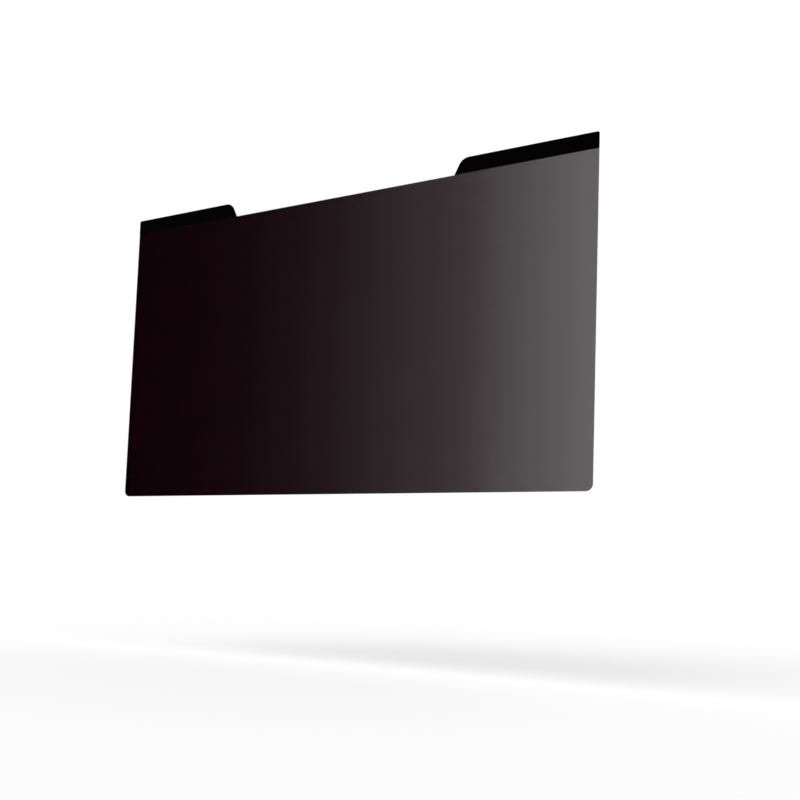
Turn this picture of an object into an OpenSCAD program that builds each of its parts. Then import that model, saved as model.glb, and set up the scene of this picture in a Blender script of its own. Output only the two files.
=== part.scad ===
// Magnetic privacy filter, of the flat 24 inch wide format.
// One stiff louvred sheet has two tabs on its top edge, cut in one piece with it. Each tab
// has a black cover on its front and a flexible magnet on its back, and the filter hangs by
// its two magnets.
// X runs to the viewer's right, Y away from the viewer and Z up. The origin is at the middle
// of the bottom edge, halfway through the thickness of the whole filter.

/* [Sheet] */
// Width of the sheet
sheet_w = 531; // [440:1:720]
// Height of the sheet without its tabs
sheet_h = 299; // [240:1:420]
// Thickness of the sheet
sheet_t = 0.5; // [0.3:0.05:1.2]
// Radius of the two bottom corners
foot_r = 6.5; // [1:0.5:12]

/* [Tabs] */
// Length of a tab along the top edge of the sheet, from the side edge to its root
tab_l = 138; // [60:1:200]
// Height of a tab above the top edge of the sheet
tab_h = 15.2; // [14:0.2:24]
// Lean of the inner end of a tab from the vertical, in degrees
tab_lean = 26.5; // [10:0.5:35]
// Radius of the shoulder between the inner end of a tab and its top
shoulder_r = 11; // [4:0.5:13]
// Radius of the outer top corner of a tab
outer_r = 2; // [1.5:0.5:5]
// Radius in the notch between the inner end of a tab and the top edge of the sheet
notch_r = 0.8; // [0.2:0.1:2]

/* [Strips] */
// Thickness of the black cover on the front of a tab
cover_t = 0.2; // [0.1:0.05:0.4]
// Thickness of the flexible magnet on the back of a tab
magnet_t = 0.8; // [0.4:0.1:1.5]
// Width of the bare rim between the outline of a tab and the edge of its magnet
magnet_rim = 0.8; // [0.3:0.1:1.2]

/* [Hidden] */
$fn = 96;

// How far a shape that trims a corner runs past that corner
past = 1;

// Front faces of the three layers, from the nearest to the viewer to the farthest
cover_y = -(cover_t + sheet_t + magnet_t) / 2;
sheet_y = cover_y + cover_t;
magnet_y = sheet_y + sheet_t;

// Where the inner end of the right tab meets the top edge of the sheet
root_x = sheet_w / 2 - tab_l;

function toward(angle) = [cos(angle), sin(angle)];

// What lies between a sharp corner and the arc that rounds it. The corner's two edges leave
// it along the angles edge_1 and edge_2, and the arc touches both of them.
module outside_of_arc(corner, r, edge_1, edge_2) {
    half = (edge_2 - edge_1) / 2;
    inward = toward((edge_1 + edge_2) / 2);
    centre = corner + inward * r / sin(half);
    reach = r / tan(half);
    difference() {
        polygon([
            corner + toward(edge_1) * reach,
            centre,
            corner + toward(edge_2) * reach,
            corner - inward * past
        ]);
        translate(centre) circle(r);
    }
}

// Outline of the right tab, drawn in by the width of a rim on every side. Its arcs keep
// their centres, so the rim is equally wide all the way round them.
module tab_outline(rim = 0) {
    side = sheet_w / 2 - rim;
    foot = sheet_h + rim;
    top = sheet_h + tab_h - rim;
    foot_x = root_x + rim / cos(tab_lean) + rim * tan(tab_lean);
    top_x = foot_x + (top - foot) * tan(tab_lean);
    difference() {
        polygon([[foot_x, foot], [side, foot], [side, top], [top_x, top]]);
        outside_of_arc([side, top], outer_r - rim, 180, 270);
        outside_of_arc([top_x, top], shoulder_r - rim, 270 - tab_lean, 360);
    }
}

module on_both_sides() {
    children();
    mirror([1, 0, 0]) children();
}

// Outline of the whole sheet: a rectangle with both tabs, the notches at their roots filled
// to a small radius and the bottom corners rounded.
module sheet_outline() {
    difference() {
        union() {
            translate([-sheet_w / 2, 0]) square([sheet_w, sheet_h]);
            on_both_sides() tab_outline();
            on_both_sides() outside_of_arc([root_x, sheet_h], notch_r, 90 - tab_lean, 180);
        }
        on_both_sides() outside_of_arc([sheet_w / 2, 0], foot_r, 90, 180);
    }
}

// Stands an outline up as a layer, from its front face backwards
module layer(front, thickness) {
    translate([0, front + thickness, 0]) rotate([90, 0, 0]) linear_extrude(thickness) children();
}

module privacy_sheet() {
    color([0.08, 0.03, 0.04, 0.85]) layer(sheet_y, sheet_t) sheet_outline();
}

module tab_cover() {
    color([0.01, 0.01, 0.01]) layer(cover_y, cover_t) tab_outline();
}

module magnet_strip() {
    color([0.07, 0.06, 0.06]) layer(magnet_y, magnet_t) tab_outline(magnet_rim);
}

privacy_sheet();
mirror([1, 0, 0]) tab_cover();  // left_tab_cover
tab_cover();  // right_tab_cover
mirror([1, 0, 0]) magnet_strip();  // left_magnet_strip
magnet_strip();  // right_magnet_strip
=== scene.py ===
# Privacy filter: louvres, finishes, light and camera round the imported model
import math

import bmesh
import bpy
from mathutils import Matrix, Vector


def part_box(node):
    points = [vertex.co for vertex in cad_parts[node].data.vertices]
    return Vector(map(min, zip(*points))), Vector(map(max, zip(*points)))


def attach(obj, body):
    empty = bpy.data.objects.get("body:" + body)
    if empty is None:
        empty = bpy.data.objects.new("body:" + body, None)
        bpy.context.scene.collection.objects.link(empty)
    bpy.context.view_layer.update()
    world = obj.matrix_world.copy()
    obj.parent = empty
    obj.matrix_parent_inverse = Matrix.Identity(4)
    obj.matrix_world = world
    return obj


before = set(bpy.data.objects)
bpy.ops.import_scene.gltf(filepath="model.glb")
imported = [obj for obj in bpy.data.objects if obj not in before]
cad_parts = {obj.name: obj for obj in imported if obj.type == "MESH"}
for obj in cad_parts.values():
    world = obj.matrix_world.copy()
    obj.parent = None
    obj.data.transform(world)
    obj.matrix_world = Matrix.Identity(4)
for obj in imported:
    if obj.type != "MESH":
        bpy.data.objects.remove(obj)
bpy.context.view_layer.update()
print("frame loaded:", ", ".join(sorted(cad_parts)))


# small helpers for objects and node trees

noiseLow = 0.3                         # a noise mostly stays between these two
noiseHigh = 0.7
firstColour = 6                        # places of the colour sockets on a Mix node
secondColour = 7
mixedColour = 2


def addObject(name, data):
    item = bpy.data.objects.new(name, data)
    bpy.context.scene.collection.objects.link(item)
    return item


def feed(tree, socket, value):
    if isinstance(value, bpy.types.NodeSocket):
        tree.links.new(value, socket)
    else:
        socket.default_value = value


def addNode(tree, kind, **inputs):
    node = tree.nodes.new(kind)
    for name, value in inputs.items():
        feed(tree, node.inputs[name.replace("_", " ")], value)
    return node


def maths(tree, operation, *values):
    node = tree.nodes.new("ShaderNodeMath")
    node.operation = operation
    for socket, value in zip(node.inputs, values):
        feed(tree, socket, value)
    return node.outputs[0]


def newMaterial(name):
    material = bpy.data.materials.new(name)
    material.use_nodes = True
    material.node_tree.nodes.clear()
    return material, material.node_tree


def closeMaterial(tree, shader):
    addNode(tree, "ShaderNodeOutputMaterial", Surface=shader)


def noise(tree, scale, detail, stretch=(1, 1, 1)):
    coords = tree.nodes.new("ShaderNodeTexCoord")
    mapping = addNode(tree, "ShaderNodeMapping", Vector=coords.outputs["Object"], Scale=stretch)
    texture = addNode(tree, "ShaderNodeTexNoise", Vector=mapping.outputs[0], Scale=scale,
                      Detail=detail)
    return texture.outputs["Fac"]


def spread(tree, value, low, high):
    # turns a noise into a value between low and high
    return addNode(tree, "ShaderNodeMapRange", Value=value, From_Min=noiseLow, From_Max=noiseHigh,
                   To_Min=low, To_Max=high).outputs[0]


def blendColours(tree, amount, first, second):
    node = tree.nodes.new("ShaderNodeMix")
    node.data_type = "RGBA"
    feed(tree, node.inputs["Factor"], amount)
    feed(tree, node.inputs[firstColour], (*first, 1))
    feed(tree, node.inputs[secondColour], (*second, 1))
    return node.outputs[mixedColour]


def mixShaders(tree, amount, first, second):
    node = tree.nodes.new("ShaderNodeMixShader")
    for socket, value in zip(node.inputs, (amount, first, second)):
        feed(tree, socket, value)
    return node.outputs[0]


# clear outer faces of the film

filmFaces = {
    "tint": (0.673, 0.673, 0.673),     # light that passes one face
    "hazeLow": 0.013,                  # share of a face that is haze and not clear
    "hazeHigh": 0.017,
    "hazeColour": (0.305, 0.017, 0.095),
    "hazeScale": 22.0,                 # clouds of haze per metre, from laminating
    "hazeDetail": 3.0,
    "satinScale": 2600.0,              # grains per metre of the satin face
    "satinDetail": 3.0,
    "satinDepth": 0.000008,
    "satinStrength": 0.5,
    "roughLow": 0.30,
    "roughHigh": 0.42,
    "specular": 0.06,
}


def filmMaterial():
    s = filmFaces
    material, tree = newMaterial("satin clear film")
    grain = noise(tree, s["satinScale"], s["satinDetail"])
    bump = addNode(tree, "ShaderNodeBump", Height=grain, Strength=s["satinStrength"],
                   Distance=s["satinDepth"])
    haze = addNode(
        tree, "ShaderNodeBsdfPrincipled",
        Base_Color=(*s["hazeColour"], 1),
        Roughness=spread(tree, grain, s["roughLow"], s["roughHigh"]),
        Specular_IOR_Level=s["specular"],
        Normal=bump.outputs[0],
    )
    clear = addNode(tree, "ShaderNodeBsdfTransparent", Color=(*s["tint"], 1))
    cloud = noise(tree, s["hazeScale"], s["hazeDetail"])
    share = spread(tree, cloud, s["hazeLow"], s["hazeHigh"])
    closeMaterial(tree, mixShaders(tree, share, clear.outputs[0], haze.outputs[0]))
    return material


# dark louvres inside the film

louvres = {
    "firstGap": 0.0000903,             # the louvres stand in threes, with two gaps in a three
    "secondGap": 0.0000574,
    "wideGap": 0.000202,               # and this one from a three to the next
    "wall": 0.0000126,                 # thickness of one louvre
    "depth": 0.000413,                 # through the thickness of the film
    "lean": math.radians(3.5),         # most that a louvre is turned out of square
    "margin": 0.00006,                 # from the cut edge of the film
    "footRadius": 0.0065,              # these four are the film's own outline
    "tabLean": math.radians(26.5),
    "shoulderRadius": 0.011,
    "outerRadius": 0.002,
    "leak": (0.420, 0.393, 0.403),     # light that passes one face of a louvre
    "colour": (0.0006, 0.0003, 0.0004),
    "darker": 0.7,                     # share of the colour in the darkest streaks
    "streakScale": 400.0,
    "streakDetail": 2.0,
    "facesInARow": 24,                 # most see-through faces that one ray passes
}

inThree = 3.0                          # louvres in a three
secondOn = 0.5                         # past this place in its three, a louvre has the first gap
thirdOn = 1.5                          # and past this one the second gap too
goldenShare = 0.618034                 # steps of this share fill a range evenly
drawn = 0.02                           # stretches a noise into lines along one axis
facesOfLouvre = 6


def louvreMaterial():
    s = louvres
    material, tree = newMaterial("maroon louvre")
    opaque = 1 - max(s["leak"])
    leakTint = [value / max(s["leak"]) for value in s["leak"]]
    streak = noise(tree, s["streakScale"], s["streakDetail"], (1, 1, drawn))
    darker = [value * s["darker"] for value in s["colour"]]
    colour = blendColours(tree, streak, s["colour"], darker)
    dark = addNode(tree, "ShaderNodeBsdfDiffuse", Color=colour)
    through = addNode(tree, "ShaderNodeBsdfTransparent", Color=(*leakTint, 1))
    closeMaterial(tree, mixShaders(tree, opaque, through.outputs[0], dark.outputs[0]))
    return material


def louvreTree():
    # a row of thin upright walls, each as tall as the sheet is at its place
    tree = bpy.data.node_groups.new("louvreRow", "GeometryNodeTree")
    face = tree.interface
    for name in ("Width", "Sheet Height", "Tab Length", "Tab Height", "Tab Lean",
                 "Shoulder Radius", "Outer Radius", "Foot Radius", "Middle Y", "First Gap",
                 "Second Gap", "Wide Gap", "Wall", "Depth", "Lean", "Margin"):
        face.new_socket(name, in_out="INPUT", socket_type="NodeSocketFloat")
    face.new_socket("Finish", in_out="INPUT", socket_type="NodeSocketMaterial")
    face.new_socket("Geometry", in_out="OUTPUT", socket_type="NodeSocketGeometry")
    size = tree.nodes.new("NodeGroupInput").outputs

    def m(operation, *values):
        return maths(tree, operation, *values)

    def arcDrop(beyond, radius):
        # how far an arc of this radius falls away, a distance beyond its start
        run = m("MAXIMUM", beyond, 0.0)
        square = m("SUBTRACT", m("MULTIPLY", radius, radius), m("MULTIPLY", run, run))
        return m("SUBTRACT", radius, m("SQRT", m("MAXIMUM", square, 0.0)))

    def choose(test, yes, no):
        node = tree.nodes.new("GeometryNodeSwitch")
        node.input_type = "FLOAT"
        feed(tree, node.inputs["Switch"], test)
        feed(tree, node.inputs["True"], yes)
        feed(tree, node.inputs["False"], no)
        return node.outputs[0]

    # places of the louvres along the sheet
    half = m("DIVIDE", size["Width"], 2.0)
    room = m("SUBTRACT", half, size["Margin"])
    span = m("ADD", size["First Gap"], size["Second Gap"])
    period = m("ADD", span, size["Wide Gap"])
    threes = m("FLOOR", m("DIVIDE", m("MULTIPLY", room, 2.0), period))
    row = addNode(tree, "GeometryNodeMeshLine", Count=m("MULTIPLY", threes, inThree))
    index = tree.nodes.new("GeometryNodeInputIndex").outputs[0]
    place = m("MODULO", index, inThree)
    pastFirst = m("MULTIPLY", m("GREATER_THAN", place, secondOn), size["First Gap"])
    pastSecond = m("MULTIPLY", m("GREATER_THAN", place, thirdOn), size["Second Gap"])
    start = m("MULTIPLY", m("FLOOR", m("DIVIDE", index, inThree)), period)
    length = m("ADD", m("MULTIPLY", m("SUBTRACT", threes, 1.0), period), span)
    fromEnd = m("ADD", start, m("ADD", pastFirst, pastSecond))
    x = m("SUBTRACT", fromEnd, m("MULTIPLY", length, 0.5))
    fromMiddle = m("ABSOLUTE", x)

    # foot of each louvre, over the rounded bottom corners
    footStart = m("SUBTRACT", half, size["Foot Radius"])
    footRise = arcDrop(m("SUBTRACT", fromMiddle, footStart), size["Foot Radius"])
    low = m("ADD", footRise, size["Margin"])

    # rise of the tab: the leaning end, then the shoulder's arc, then the level top
    along = m("SUBTRACT", fromMiddle, m("SUBTRACT", half, size["Tab Length"]))
    slope = m("TANGENT", size["Tab Lean"])
    cornerAlong = m("MULTIPLY", size["Tab Height"], slope)
    halfAngle = m("DIVIDE", m("ADD", size["Tab Lean"], math.pi / 2), 2.0)
    reach = m("DIVIDE", size["Shoulder Radius"], m("TANGENT", halfAngle))
    arcStart = m("SUBTRACT", cornerAlong, m("MULTIPLY", reach, m("SINE", size["Tab Lean"])))
    arcEnd = m("ADD", cornerAlong, reach)
    shoulderDrop = arcDrop(m("SUBTRACT", arcEnd, along), size["Shoulder Radius"])
    onArc = m("SUBTRACT", size["Tab Height"], shoulderDrop)
    onLean = m("MAXIMUM", m("DIVIDE", along, slope), 0.0)
    rise = choose(m("LESS_THAN", along, arcStart), onLean, onArc)

    # top of each louvre, under the outer corners
    outerStart = m("SUBTRACT", half, size["Outer Radius"])
    outerDrop = arcDrop(m("SUBTRACT", fromMiddle, outerStart), size["Outer Radius"])
    edge = m("ADD", size["Sheet Height"], rise)
    top = m("SUBTRACT", edge, m("ADD", outerDrop, size["Margin"]))

    # neighbours lean by evenly mixed amounts, so that no stripe shows
    share = m("FRACT", m("MULTIPLY", index, goldenShare))
    zigzag = m("ABSOLUTE", m("SUBTRACT", m("MULTIPLY", share, 2.0), 1.0))
    mixed = m("SUBTRACT", m("MULTIPLY", zigzag, 2.0), 1.0)
    turn = addNode(tree, "ShaderNodeCombineXYZ", Z=m("MULTIPLY", mixed, size["Lean"]))

    middle = m("DIVIDE", m("ADD", low, top), 2.0)
    centre = addNode(tree, "ShaderNodeCombineXYZ", X=x, Y=size["Middle Y"], Z=middle)
    placed = addNode(tree, "GeometryNodeSetPosition", Geometry=row.outputs[0],
                     Position=centre.outputs[0])
    wallSize = addNode(tree, "ShaderNodeCombineXYZ", X=size["Wall"], Y=size["Depth"],
                       Z=m("SUBTRACT", top, low))
    wall = addNode(tree, "GeometryNodeMeshCube")
    walls = addNode(tree, "GeometryNodeInstanceOnPoints", Points=placed.outputs[0],
                    Instance=wall.outputs["Mesh"], Rotation=turn.outputs[0],
                    Scale=wallSize.outputs[0])
    solid = addNode(tree, "GeometryNodeRealizeInstances", Geometry=walls.outputs[0])
    finished = addNode(tree, "GeometryNodeSetMaterial", Geometry=solid.outputs[0],
                       Material=size["Finish"])
    addNode(tree, "NodeGroupOutput", Geometry=finished.outputs[0])
    return tree


def meshFromTree(name, tree, values):
    # runs a tree on an empty mesh and keeps the plain mesh that comes out
    carrier = addObject(name + "Carrier", bpy.data.meshes.new(name + "Carrier"))
    modifier = carrier.modifiers.new(name, "NODES")
    modifier.node_group = tree
    inputs = [item for item in tree.interface.items_tree if item.in_out == "INPUT"]
    sockets = {item.name: item.identifier for item in inputs}
    for label, value in values.items():
        modifier[sockets[label]] = value
    bpy.context.view_layer.update()
    evaluated = carrier.evaluated_get(bpy.context.evaluated_depsgraph_get())
    mesh = bpy.data.meshes.new_from_object(evaluated)
    carrier.modifiers.clear()
    bpy.data.objects.remove(carrier)
    return addObject(name, mesh)


def makeLouvres(finish):
    s = louvres
    low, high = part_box("privacy_sheet")
    tabLow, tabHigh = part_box("right_tab_cover")
    piece = meshFromTree("louvre_core", louvreTree(), {
        "Width": high.x - low.x,
        "Sheet Height": tabLow.z,
        "Tab Length": tabHigh.x - tabLow.x,
        "Tab Height": tabHigh.z - tabLow.z,
        "Tab Lean": s["tabLean"],
        "Shoulder Radius": s["shoulderRadius"],
        "Outer Radius": s["outerRadius"],
        "Foot Radius": s["footRadius"],
        "Middle Y": (low.y + high.y) / 2,
        "First Gap": s["firstGap"],
        "Second Gap": s["secondGap"],
        "Wide Gap": s["wideGap"],
        "Wall": s["wall"],
        "Depth": s["depth"],
        "Lean": s["lean"],
        "Margin": s["margin"],
        "Finish": finish,
    })
    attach(piece, "root")
    print("louvres:", len(piece.data.polygons) // facesOfLouvre)


# black covers on the fronts of the tabs

coverFinish = {
    "black": (0.0003, 0.00025, 0.00025),
    "lighter": (0.0009, 0.0008, 0.0008),
    "grainScale": 1900.0,
    "grainDetail": 4.0,
    "grainDepth": 0.00002,
    "grainStrength": 0.6,
    "rubScale": 90.0,                  # patches rubbed a little smoother
    "rubDetail": 3.0,
    "roughLow": 0.40,
    "roughHigh": 0.62,
    "specular": 0.004,
}


def coverMaterial():
    s = coverFinish
    material, tree = newMaterial("satin black cover")
    grain = noise(tree, s["grainScale"], s["grainDetail"])
    rubbed = noise(tree, s["rubScale"], s["rubDetail"])
    bump = addNode(tree, "ShaderNodeBump", Height=grain, Strength=s["grainStrength"],
                   Distance=s["grainDepth"])
    surface = addNode(
        tree, "ShaderNodeBsdfPrincipled",
        Base_Color=blendColours(tree, spread(tree, grain, 0, 1), s["black"], s["lighter"]),
        Roughness=spread(tree, rubbed, s["roughLow"], s["roughHigh"]),
        Specular_IOR_Level=s["specular"],
        Normal=bump.outputs[0],
    )
    closeMaterial(tree, surface.outputs[0])
    return material


# flexible magnets on the backs of the tabs

magnetFinish = {
    "dark": (0.020, 0.017, 0.015),
    "light": (0.050, 0.043, 0.038),
    "speckScale": 2400.0,
    "speckDetail": 4.0,
    "rollScale": 1400.0,               # fine lines that the rollers leave along the strip
    "rollDetail": 2.0,
    "lineDepth": 0.00004,
    "lineStrength": 0.7,
    "roughLow": 0.62,
    "roughHigh": 0.82,
    "specular": 0.25,
}


def magnetMaterial():
    s = magnetFinish
    material, tree = newMaterial("ferrite rubber")
    speck = noise(tree, s["speckScale"], s["speckDetail"])
    lines = noise(tree, s["rollScale"], s["rollDetail"], (drawn, 1, 1))
    bump = addNode(tree, "ShaderNodeBump", Height=maths(tree, "ADD", speck, lines),
                   Strength=s["lineStrength"], Distance=s["lineDepth"])
    surface = addNode(
        tree, "ShaderNodeBsdfPrincipled",
        Base_Color=blendColours(tree, spread(tree, speck, 0, 1), s["dark"], s["light"]),
        Roughness=spread(tree, lines, s["roughLow"], s["roughHigh"]),
        Specular_IOR_Level=s["specular"],
        Normal=bump.outputs[0],
    )
    closeMaterial(tree, surface.outputs[0])
    return material


def finishNode(name, material):
    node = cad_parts[name]
    node.data.materials.clear()
    node.data.materials.append(material)


# stage, light and camera

stage = {
    "floorZ": -0.165,
    "floorRadius": 5.0,                # level part, round which the backdrop curves up and over
    "coveRadius": 8.0,
    "coveSteps": 24,
    "turnSteps": 64,
    "mergeWithin": 0.0001,
    "fadeStart": 1.2,                  # the lit floor fades to plain white between these distances
    "fadeEnd": 4.0,
    "mostFaded": 0.999,
    "floorColour": (0.80, 0.80, 0.80),
    "floorGlow": 0.187,                # lifts the lit floor to white
    "farGlow": 1.0,                    # plain white
    "ambient": 0.74,
    "keyStrength": 1.1,
    "keySpread": 50.0,                 # degrees of sky that the key light fills
    "keyHeight": 52.0,                 # degrees above the floor
    "keySide": -35.0,                  # degrees from straight in front, to the left
}


def backdropMesh(name):
    # a level floor that curves up into walls and over into a ceiling, without a seam or an edge
    s = stage
    profile = [(0.0, s["floorZ"])]
    for step in range(s["coveSteps"] + 1):
        angle = math.pi * step / s["coveSteps"]
        profile.append((s["floorRadius"] + s["coveRadius"] * math.sin(angle),
                        s["floorZ"] + s["coveRadius"] * (1 - math.cos(angle))))
    profile.append((0.0, s["floorZ"] + 2 * s["coveRadius"]))
    shape = bmesh.new()
    points = [shape.verts.new((x, 0, z)) for x, z in profile]
    edges = [shape.edges.new(pair) for pair in zip(points, points[1:])]
    bmesh.ops.spin(shape, geom=points + edges, cent=(0, 0, 0), axis=(0, 0, 1), angle=2 * math.pi,
                   steps=s["turnSteps"], use_merge=True)
    bmesh.ops.remove_doubles(shape, verts=shape.verts, dist=s["mergeWithin"])
    bmesh.ops.recalc_face_normals(shape, faces=shape.faces)
    bmesh.ops.reverse_faces(shape, faces=shape.faces)   # it is seen from within
    for face in shape.faces:
        face.smooth = True
    mesh = bpy.data.meshes.new(name)
    shape.to_mesh(mesh)
    shape.free()
    return mesh


def backdropMaterial():
    s = stage
    material, tree = newMaterial("pale backdrop")
    material.cycles.emission_sampling = "NONE"          # it is seen, and lights nothing
    matt = addNode(tree, "ShaderNodeBsdfDiffuse", Color=(*s["floorColour"], 1))
    glow = addNode(tree, "ShaderNodeEmission", Strength=s["floorGlow"])
    lit = tree.nodes.new("ShaderNodeAddShader")
    for socket, shader in zip(lit.inputs, (matt, glow)):
        tree.links.new(shader.outputs[0], socket)
    white = addNode(tree, "ShaderNodeEmission", Strength=s["farGlow"])
    coords = tree.nodes.new("ShaderNodeTexCoord")
    fromFloor = addNode(tree, "ShaderNodeMapping", Vector=coords.outputs["Object"],
                        Location=(0, 0, -s["floorZ"]))
    distance = addNode(tree, "ShaderNodeVectorMath", Vector=fromFloor.outputs[0])
    distance.operation = "LENGTH"
    fade = addNode(tree, "ShaderNodeMapRange", Value=distance.outputs["Value"],
                   From_Min=s["fadeStart"], From_Max=s["fadeEnd"], To_Max=s["mostFaded"])
    fade.interpolation_type = "SMOOTHSTEP"
    closeMaterial(tree, mixShaders(tree, fade.outputs[0], lit.outputs[0], white.outputs[0]))
    return material


def makeStage():
    s = stage
    mesh = backdropMesh("backdrop")
    mesh.materials.append(backdropMaterial())
    backdrop = addObject("backdrop", mesh)
    backdrop.visible_diffuse = False   # the soft light of the world passes through it
    backdrop.visible_shadow = False

    world = bpy.data.worlds.new("studio")
    bpy.context.scene.world = world
    world.use_nodes = True
    tree = world.node_tree
    tree.nodes.clear()
    sky = addNode(tree, "ShaderNodeBackground", Color=(1, 1, 1, 1), Strength=s["ambient"])
    addNode(tree, "ShaderNodeOutputWorld", Surface=sky.outputs[0])

    lamp = bpy.data.lights.new("key", "SUN")
    lamp.energy = s["keyStrength"]
    lamp.angle = math.radians(s["keySpread"])
    key = addObject("key", lamp)
    key.rotation_euler = (math.radians(90 - s["keyHeight"]), 0, math.radians(s["keySide"]))
    bpy.context.scene.view_settings.view_transform = "Standard"


cameraSetup = {
    "place": (0.4866, -0.7587, -0.0751),
    "heading": 28.09,                  # degrees to the left of straight at the sheet
    "pitch": 4.330,                    # degrees upwards
    "roll": 2.019,
    "lens": 41.475,                    # millimetres, as the sensor is
    "sensor": 36.0,
    "shiftY": 0.13,                    # share of the picture's width
}


def makeCamera():
    s = cameraSetup
    data = bpy.data.cameras.new("camera")
    data.lens = s["lens"]
    data.sensor_width = s["sensor"]
    data.shift_y = s["shiftY"]
    camera = addObject("camera", data)
    heading = Matrix.Rotation(math.radians(s["heading"]), 4, "Z")
    tilt = Matrix.Rotation(math.radians(90 + s["pitch"]), 4, "X")
    roll = Matrix.Rotation(math.radians(s["roll"]), 4, "Z")
    camera.matrix_world = Matrix.Translation(s["place"]) @ heading @ tilt @ roll
    bpy.context.scene.camera = camera


finishNode("privacy_sheet", filmMaterial())
blackCover = coverMaterial()
ferriteRubber = magnetMaterial()
for side in ("left", "right"):
    finishNode(side + "_tab_cover", blackCover)
    finishNode(side + "_magnet_strip", ferriteRubber)
print("finishes done")
makeLouvres(louvreMaterial())
bpy.context.scene.cycles.transparent_max_bounces = louvres["facesInARow"]
makeStage()
makeCamera()
print("stage and camera done")
